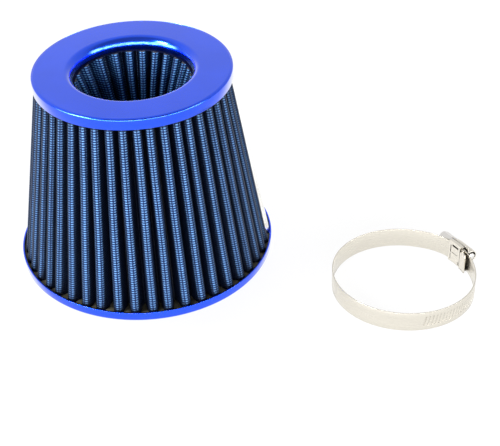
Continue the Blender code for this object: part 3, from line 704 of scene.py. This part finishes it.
def smooth_step(value, start, end):
    """0 before start, 1 after end, and smooth between."""
    share = min(max((value - start) / (end - start), 0.0), 1.0)
    return share * share * (3 - 2 * share)


def oval_radius(angle):
    """The free loop's radius to the middle of the strip."""
    return BAND_RADIUS + BAND_OVAL * cos(2 * (angle - BAND_OVAL_ANGLE))


def head_radius(angle):
    """Round inside the housing, then the free loop's shape."""
    share = smooth_step(angle, HEAD_ROUND_END, HEAD_OVAL_START)
    return BAND_RADIUS * (1 - share) + oval_radius(angle) * share


def tail_radius(angle):
    """The free loop's shape, then round and outside the head end where the two overlap."""
    share = smooth_step(angle, TAIL_OVAL_END, TAIL_ROUND_START)
    return oval_radius(angle) * (1 - share) + TAIL_RADIUS * share


def clamp_point(radius, angle, z):
    """A point round the clamp's centre."""
    return CLAMP_CENTRE + Vector((radius * cos(angle), radius * sin(angle), z))


def sheet_piece(name, inner, outer, solid, material, slot, edge=0.00010):
    """A sheet with holes: two grids of points, the cells that are solid, and softened edges."""
    rows, columns = len(inner), len(inner[0])
    verts, uv_at = [], []
    for grid in (inner, outer):
        for row in grid:
            verts += row
    lengths = [0.0]
    for a, b in zip(outer[0], outer[0][1:]):
        lengths.append(lengths[-1] + (b - a).length)
    faces = []

    def add(*corners):
        faces.append([side * rows * columns + i * columns + j for side, i, j in corners])
        uv_at.extend((lengths[j], outer[i][j].z + 0.001 * side) for side, i, j in corners)

    def filled(i, j):
        return 0 <= i < rows - 1 and 0 <= j < columns - 1 and solid(i, j)

    for i in range(rows - 1):
        for j in range(columns - 1):
            if not filled(i, j):
                continue
            add((1, i, j), (1, i, j + 1), (1, i + 1, j + 1), (1, i + 1, j))
            add((0, i, j), (0, i + 1, j), (0, i + 1, j + 1), (0, i, j + 1))
            for ni, nj, a, b in ((i - 1, j, (i, j), (i, j + 1)),
                                 (i + 1, j, (i + 1, j + 1), (i + 1, j)),
                                 (i, j - 1, (i + 1, j), (i, j)),
                                 (i, j + 1, (i, j + 1), (i + 1, j + 1))):
                if not filled(ni, nj):
                    add((0, *a), (0, *b), (1, *b), (1, *a))
    piece = new_piece(name, verts, faces, material, uv_at)
    soften(piece, edge)
    return piece


def soften(piece, width, segments=2, limit=35):
    """Bevel the edges sharper than a limit in degrees, and drop loose points."""
    bm = bmesh.new()
    bm.from_mesh(piece.data)
    bmesh.ops.delete(bm, geom=[v for v in bm.verts if not v.link_faces], context="VERTS")
    edges = [e for e in bm.edges if len(e.link_faces) == 2
             and e.calc_face_angle(0.0) > radians(limit)]
    bmesh.ops.bevel(bm, geom=edges, offset=width, segments=segments, profile=0.5,
                    affect="EDGES", clamp_overlap=True)
    bm.to_mesh(piece.data)
    bm.free()
    piece.data.shade_smooth()
    piece.data.set_sharp_from_angle(angle=radians(50))


def head_strip(material):
    """The plain half of the band, from inside the housing round to the far side."""
    angles = np.linspace(HEAD_START, STRIP_SPLIT - STRIP_SEAM / BAND_RADIUS, 120)
    heights = (BAND_LOW, BAND_HIGH)
    grids = [[[clamp_point(head_radius(a) + side * BAND / 2, a, z) for a in angles]
              for z in heights] for side in (-1, 1)]
    return sheet_piece("band_head_strip", *grids, lambda i, j: True, material, "stainless_strip")


def tail_strip(material):
    """The grooved half of the band: leaning pressed grooves, as far as its tapered free end."""
    pitch = WORM_PITCH / TAIL_RADIUS
    grooves = int((TAIL_END - FIRST_GROOVE) / pitch)
    first = TAIL_END - pitch * grooves
    plain = list(np.linspace(STRIP_SPLIT - 2 * pi, first, 56))[:-1]
    half, lean = GROOVE_WIDTH / 2 / TAIL_RADIUS, GROOVE_LEAN / TAIL_RADIUS
    low, high = GROOVE_LOW, GROOVE_LOW + GROOVE_HEIGHT
    middle = (low + high) / 2
    wall = GROOVE_WIDTH * 0.16
    columns = [(a, 0.0) for a in plain]
    for i in range(grooves):
        centre = first + pitch * (i + 0.5)
        columns += [(centre - pitch / 2, 0.0)]
        columns += [(centre, share) for share in (-1.0, -0.68, 0.68, 1.0)]
    columns.append((TAIL_END, 0.0))
    rows = [(BAND_LOW, 1.0), (low, 0.5), (low + wall, 0.9), (low + 3 * wall, 1.0),
            (high - 3 * wall, 1.0), (high - wall, 0.9), (high, 0.5), (BAND_HIGH, 1.0)]

    def point(column, row, side):
        angle, share = column
        z, width = row
        sunk = side > 0 and 0 < abs(share) < 1 and low < z < high
        if share:
            angle += lean * (min(max((z - low) / GROOVE_HEIGHT, 0.0), 1.0) - 0.5)
            angle += half * share * width
        radius = tail_radius(angle) + side * BAND / 2 - (GROOVE_DEPTH if sunk else 0.0)
        taper = 1 - TAIL_TAPER * smooth_step(angle, TAIL_END - TAIL_TAPER_LENGTH, TAIL_END)
        return clamp_point(radius, angle, middle + (z - middle) * taper)

    grids = [[[point(c, r, side) for c in columns] for r in rows] for side in (-1, 1)]
    return sheet_piece("band_tail_strip", *grids, lambda i, j: True, material, "stainless_strip")


def saddle_ends():
    """The angles between which the saddle lies."""
    return (HOUSING + HOUSING_BACK / BAND_RADIUS + SADDLE_SHIFT,
            HOUSING + HOUSING_FRONT / BAND_RADIUS + SADDLE_SHIFT)


def saddle(material):
    """Inner plate of the housing: a flange along both edges and punched openings.

    Each opening is two angles and two heights. The first is the tongue's room, the second the
    seam, the third the slot along the top, and the rest the small slots beside them.
    """
    low_box, high_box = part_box("clamp_saddle")
    low, high = low_box.z, high_box.z
    middle = (low + high) / 2
    start, end = saddle_ends()
    back = BAND_RADIUS - BAND / 2 - SADDLE_GAP
    front = back - SADDLE
    rim = 0.0004                        # the flanges' rounded edge
    openings = [(start - 1.0, start + TONGUE_WIDTH - radians(1.4), low + 0.0012, high + 0.0010),
                (start + radians(9.5), end - radians(3.6), middle - 0.0002, middle + 0.0002),
                (start + radians(9.0), end - radians(4.0), high - 0.0026, high - 0.0013),
                (end - radians(2.6), end - radians(1.8), middle - 0.0004, high - 0.0022),
                (end - radians(2.4), end - radians(1.8), low + 0.0020, middle - 0.0012),
                (start + TONGUE_WIDTH - radians(0.6), start + TONGUE_WIDTH + radians(0.2),
                 low + 0.0012, low + 0.0034)]
    angles = set(np.linspace(start, end, 25))
    heights = {low + rim, high - rim}
    for a, b, bottom, top in openings:
        angles |= {a, b}
        heights |= {bottom, top}
    angles = sorted(a for a in angles if start <= a <= end)
    heights = sorted(heights)
    outline = [(SADDLE_TOP, low), (front + rim, low), *((front, z) for z in heights),
               (front + rim, high), (SADDLE_TOP, high)]
    inside = [(SADDLE_TOP, low + SADDLE), (back, low + SADDLE),
              *((back, min(max(z, low + SADDLE), high - SADDLE)) for z in heights),
              (back, high - SADDLE), (SADDLE_TOP, high - SADDLE)]
    faces, backs = [[[clamp_point(r, a, z) for a in angles] for r, z in section]
                    for section in (outline, inside)]

    def solid(i, j):
        z = (outline[i][1] + outline[i + 1][1]) / 2
        angle = (angles[j] + angles[j + 1]) / 2
        return not any(a < angle < b and bottom < z < top for a, b, bottom, top in openings)

    return sheet_piece("saddle_fine", backs, faces, solid, material, "stainless_strip", 0.00012)


def tongue(material):
    """A tab with a rounded end that stands in the saddle's opening, proud of its face."""
    low_box, high_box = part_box("clamp_saddle")
    low, high = low_box.z + 0.0002, high_box.z - 0.0009
    start = saddle_ends()[0] - TONGUE_REACH
    front = BAND_RADIUS - BAND / 2 - SADDLE_GAP - SADDLE - TONGUE_PROUD
    turns = [radians(180 * i / 20) for i in range(21)]
    half = TONGUE_WIDTH / 2
    rise = half * BAND_RADIUS
    columns = [(start + half - half * cos(turn), high - rise * (1 - sin(turn))) for turn in turns]
    faces, backs = [[[clamp_point(radius, angle, low + (top - low) * share)
                      for angle, top in columns] for share in (0.0, 0.35, 0.7, 1.0)]
                    for radius in (front, front + SADDLE)]
    return sheet_piece("saddle_tongue", backs, faces, lambda i, j: True, material,
                       "stainless_strip", 0.00012)


def housing_frame():
    """Turns housing coordinates (across, outwards, along the screw) into the frame's."""
    outwards = Vector((cos(HOUSING), sin(HOUSING), 0.0))
    along = Vector((-sin(HOUSING), cos(HOUSING), 0.0))
    turn = Matrix((outwards.cross(along), outwards, along)).transposed().to_4x4()
    turn.translation = CLAMP_CENTRE + Vector((0.0, 0.0, (BAND_LOW + BAND_HIGH) / 2))
    return turn


def cover(material):
    """The tunnel over the screw, with feet on the saddle's flanges and slightly closed ends."""
    wall = THREAD_RADIUS + WORM_CLEARANCE
    thick = HOUSING_WALL
    foot = (BAND_HIGH - BAND_LOW) / 2 + SADDLE_GAP + SADDLE
    seat = HOUSING_SEAT
    steps = 16
    hoop = [radians(180 * i / steps) for i in range(steps + 1)]
    bend = 0.0006
    outside = [(foot, seat + thick), (wall + thick + bend, seat + thick),
               (wall + thick + bend * 0.3, seat + thick + bend * 0.3),
               (wall + thick, seat + thick + bend)]
    outside += [((wall + thick) * cos(a), SCREW_RADIUS + (wall + thick) * sin(a)) for a in hoop]
    outside += [(-x, y) for x, y in outside[3::-1]]
    inside = [(foot, seat), (wall + bend, seat), (wall + bend * 0.3, seat + bend * 0.3),
              (wall, seat + thick + bend)]
    inside += [(wall * cos(a), SCREW_RADIUS + wall * sin(a)) for a in hoop]
    inside += [(-x, y) for x, y in inside[3::-1]]
    turn = housing_frame()
    places = np.linspace(HOUSING_BACK, HOUSING_FRONT, 21)

    def swell(along, y):
        share = smooth_step(y, SCREW_RADIUS - 0.001, SCREW_RADIUS + 0.002)
        ends = min(along - HOUSING_BACK, HOUSING_FRONT - along)
        return 1.0 - 0.05 * share * (1 - smooth_step(ends, 0.0008, 0.0022))

    grids = [[[turn @ Vector((x * swell(along, y), SCREW_RADIUS + (y - SCREW_RADIUS)
                              * (swell(along, y) if y > SCREW_RADIUS else 1.0), along))
               for along in places] for x, y in section] for section in (inside, outside)]
    return sheet_piece("housing_fine", *grids, lambda i, j: True, material, "stainless_strip",
                       0.00016)


def screw(material):
    """Worm with a rounded-off thread, a neck, a collar and a chamfered hexagon head."""
    sides, per_turn = 36, 16
    rings = []

    def ring(radius, along):
        rings.append([(radius * cos(a), radius * sin(a), along) for a in
                      np.arange(sides) * 2 * pi / sides])

    def hexagon(radius, along):
        points = []
        for a in np.arange(sides) * 2 * pi / sides:
            off = (a + pi / 6) % (pi / 3) - pi / 6
            reach = radius * cos(pi / 6) / cos(abs(off) - pi / 6)
            points.append((reach * cos(a), reach * sin(a), along))
        rings.append(points)

    ring(THREAD_ROOT * 0.6, THREAD_START - TIP_LENGTH)
    ring(THREAD_ROOT * 0.8, THREAD_START - 0.6 * TIP_LENGTH)
    rows = THREAD_TURNS * per_turn
    for row in range(rows + 1):
        fade = min(1.0, row / per_turn, (rows - row) / per_turn)
        points = []
        for side in range(sides):
            valley = abs(((row / per_turn - side / sides) % 1.0) * 2 - 1)
            rise = min(max((THREAD_FOOT - valley) / THREAD_FLANK, 0.0), 1.0)
            radius = THREAD_ROOT + (THREAD_RADIUS - THREAD_ROOT) * rise * fade
            angle = 2 * pi * side / sides
            points.append((radius * cos(angle), radius * sin(angle),
                           THREAD_START + WORM_PITCH * row / per_turn))
        rings.append(points)
    collar_start = HEX_START - COLLAR_LENGTH
    ring(THREAD_ROOT, collar_start)
    ring(COLLAR_RADIUS - COLLAR_BEVEL, collar_start)
    ring(COLLAR_RADIUS, collar_start + COLLAR_BEVEL)
    ring(COLLAR_RADIUS, HEX_START - COLLAR_BEVEL)
    ring(COLLAR_RADIUS - COLLAR_BEVEL, HEX_START)
    hexagon(HEX_RADIUS, HEX_START)
    hexagon(HEX_RADIUS, HEX_END - HEX_BEVEL)
    ring(HEX_RADIUS * HEX_END_SHARE, HEX_END)
    verts = [point for points in rings for point in points]
    faces = [(i * sides + j, i * sides + (j + 1) % sides, (i + 1) * sides + (j + 1) % sides,
              (i + 1) * sides + j) for i in range(len(rings) - 1) for j in range(sides)]
    faces.append(list(range(sides))[::-1])
    faces.append([(len(rings) - 1) * sides + j for j in range(sides)])
    piece = new_piece("screw_fine", verts, faces, material)
    cut_driver_slot(piece)
    turn = housing_frame()
    turn.translation += turn.to_3x3() @ Vector((0.0, SCREW_RADIUS, 0.0))
    piece.data.transform(turn)
    return piece


def cut_driver_slot(piece):
    """Cut the screwdriver slot across the head."""
    width, depth = DRIVER_SLOT
    x, y = width / 2, 2 * HEX_RADIUS
    low, high = HEX_END - depth, HEX_END + depth
    corners = [(sx * x, sy * y, z) for z in (low, high) for sx, sy in
               ((-1, -1), (1, -1), (1, 1), (-1, 1))]
    quads = [(0, 3, 2, 1), (4, 5, 6, 7), (0, 1, 5, 4), (1, 2, 6, 5), (2, 3, 7, 6), (3, 0, 4, 7)]
    mesh = bpy.data.meshes.new("slot_cutter")
    mesh.from_pydata(corners, [], quads)
    cutter = bpy.data.objects.new("slot_cutter", mesh)
    bpy.context.scene.collection.objects.link(cutter)
    cut = piece.modifiers.new("slot", "BOOLEAN")
    cut.operation = "DIFFERENCE"
    cut.solver = "EXACT"
    cut.object = cutter
    bpy.context.view_layer.update()
    made = bpy.data.meshes.new_from_object(piece.evaluated_get(
        bpy.context.evaluated_depsgraph_get()))
    piece.modifiers.clear()
    piece.data = made
    bpy.data.objects.remove(cutter)
    made.shade_smooth()
    made.set_sharp_from_angle(angle=radians(35))


def build_clamp():
    """Every piece of the clamp; all but the two band strips go on the body that carries them."""
    strip = stainless("stainless_strip", (0.735, 0.70, 0.62), 0.22, 0.0016)
    pressed = stainless("stainless_pressing", (0.80, 0.76, 0.68), 0.26)
    zinc = stainless("zinc_screw", (0.76, 0.74, 0.71), 0.30, 0.0045)
    head, tail = head_strip(strip), tail_strip(strip)
    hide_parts("clamp_band_head", "clamp_band_middle")
    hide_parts("clamp_band_tail", "clamp_band_middle")
    for piece, before, after, middle in ((head, "clamp_head", "clamp_middle", 104),
                                         (tail, "clamp_middle", "clamp_tail", 284)):
        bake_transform(piece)
    for piece, node, body in ((saddle(pressed), "clamp_saddle", "clamp_head"),
                              (tongue(pressed), "clamp_saddle", "clamp_head"),
                              (cover(pressed), "clamp_housing", "clamp_head"),
                              (screw(zinc), "clamp_screw", "clamp_worm")):
        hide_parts(node)
        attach(piece, body)


# Scene

def build_stage():
    """A plain pale floor."""
    size = 3.0
    corners = [(-size, -size, 0), (size, -size, 0), (size, size, 0), (-size, size, 0)]
    mesh = bpy.data.meshes.new("floor")
    mesh.from_pydata(corners, [], [(0, 1, 2, 3)])
    floor = bpy.data.objects.new("floor", mesh)
    bpy.context.scene.collection.objects.link(floor)
    g = new_graph("floor")
    mesh.materials.append(g.set(Base_Color=(0.09, 0.09, 0.09), Roughness=0.8,
                                Emission_Color=(1.0, 1.0, 1.0), Emission_Strength=0.90))


def add_light(name, place, target, size, power):
    """A soft area light that faces a point."""
    data = bpy.data.lights.new(name, "AREA")
    data.shape = "DISK"
    data.size = size
    data.energy = power
    lamp = bpy.data.objects.new(name, data)
    lamp.location = place
    lamp.rotation_mode = "QUATERNION"
    lamp.rotation_quaternion = (Vector(target) - Vector(place)).to_track_quat("-Z", "Y")
    bpy.context.scene.collection.objects.link(lamp)


def build_camera():
    """The camera: a short telephoto that looks down on the pair."""
    pitch, roll, height, back = 0.6378, -0.0311, 0.4719, 0.5883
    data = bpy.data.cameras.new("camera")
    data.sensor_width = 36.0
    data.lens = 87.24
    camera = bpy.data.objects.new("camera", data)
    forward = Vector((0.0, cos(pitch), -sin(pitch)))
    down = Vector((0.0, -sin(pitch), -cos(pitch)))
    right = Vector((1.0, 0.0, 0.0))
    image_right = right * cos(roll) - down * sin(roll)
    image_down = right * sin(roll) + down * cos(roll)
    turn = Matrix((image_right, -image_down, -forward)).transposed().to_4x4()
    turn.translation = AXIS + Vector((0.06221, -back, height))
    camera.matrix_world = turn
    bpy.context.scene.collection.objects.link(camera)
    bpy.context.scene.camera = camera


def studio_world():
    """Surround: bright behind, dim in front, with a low bright window there."""
    g = Graph(bpy.data.worlds.new("studio"))
    place = g.node("ShaderNodeTexCoord").outputs["Generated"]
    across, back, height = g.node("ShaderNodeSeparateXYZ", {0: place}).outputs
    panes = g.node("ShaderNodeTexNoise", {"Vector": place, "Scale": 5.0, "Detail": 1.0}).outputs[0]
    window = g.math("MULTIPLY", g.span(height, 0.02, 0.06), g.span(height, 0.34, 0.40, 1.0, 0.0))
    window = g.math("MULTIPLY", window, g.span(back, -0.3, 0.0, 1.0, 0.0))
    window = g.math("MULTIPLY", window, g.span(panes, 0.40, 0.46, 0.25, 1.0))
    window = g.math("MULTIPLY", window, g.span(across, -0.6, 0.8, 14.0, 12.0))
    sweep = g.span(back, -0.3, 0.3, 0.36, 0.86)
    sweep = g.math("MULTIPLY", sweep, g.span(across, -0.7, 0.9, 1.1, 0.85))
    background = g.tree.nodes["Background"]
    background.inputs["Color"].default_value = (1.0, 1.0, 1.0, 1.0)
    g.put(g.math("ADD", window, sweep), background.inputs["Strength"])
    bpy.context.scene.world = g.owner


def build_lights():
    """A soft key from the left, over a white studio."""
    studio_world()
    add_light("key", (-1.04, -0.60, 0.80), (-0.02, 0.0, 0.07), 0.50, 15.0)


build_packs()
build_turned()
build_clamp()
build_stage()
build_lights()
build_camera()
bpy.context.scene.view_settings.view_transform = "Standard"
